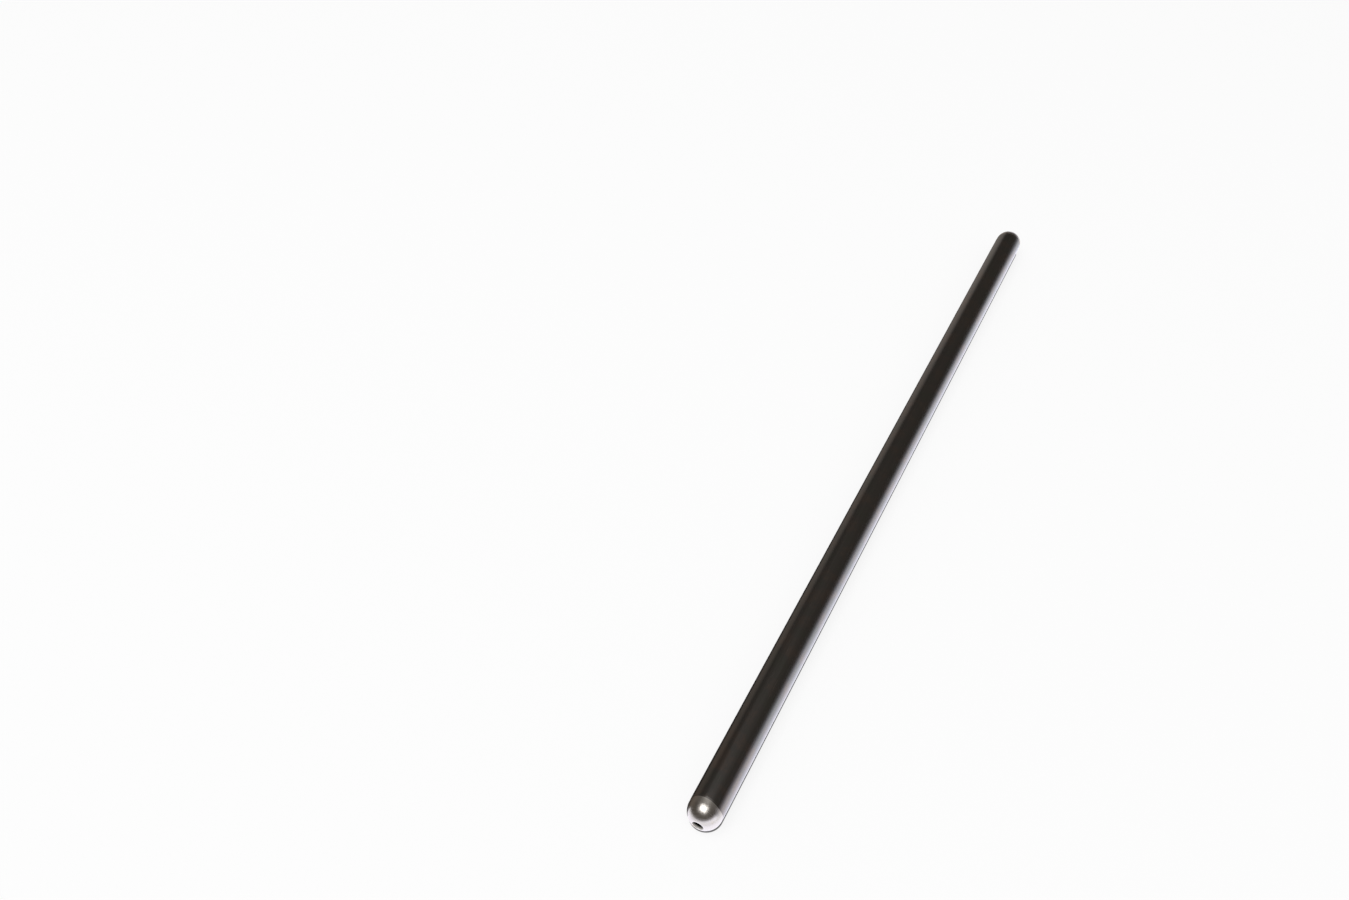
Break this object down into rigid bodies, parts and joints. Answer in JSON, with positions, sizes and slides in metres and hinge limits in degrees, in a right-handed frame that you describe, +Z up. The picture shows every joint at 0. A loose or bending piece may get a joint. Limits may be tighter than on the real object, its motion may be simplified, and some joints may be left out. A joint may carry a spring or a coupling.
{
  "type": "engine pushrod",
  "caption": "One-piece hollow steel pushrod with a ground ball and oil hole at each end, carrying a tappet's lift and oil to a rocker arm.",
  "frame": {"origin": "centre of the ball that sits in the tappet's cup", "axes": "+X along the rod's axis from the tappet's ball to the rocker's ball; +Z up and +Y across, with the rod laid level"},
  "size_m": [0.2319, 0.008, 0.008],
  "materials": {
    "pushrod": "satin blackened tube with bright ground ball ends"
  },
  "bodies": {
    "root": {"pushrod": "pushrod"}
  },
  "joints": []
}
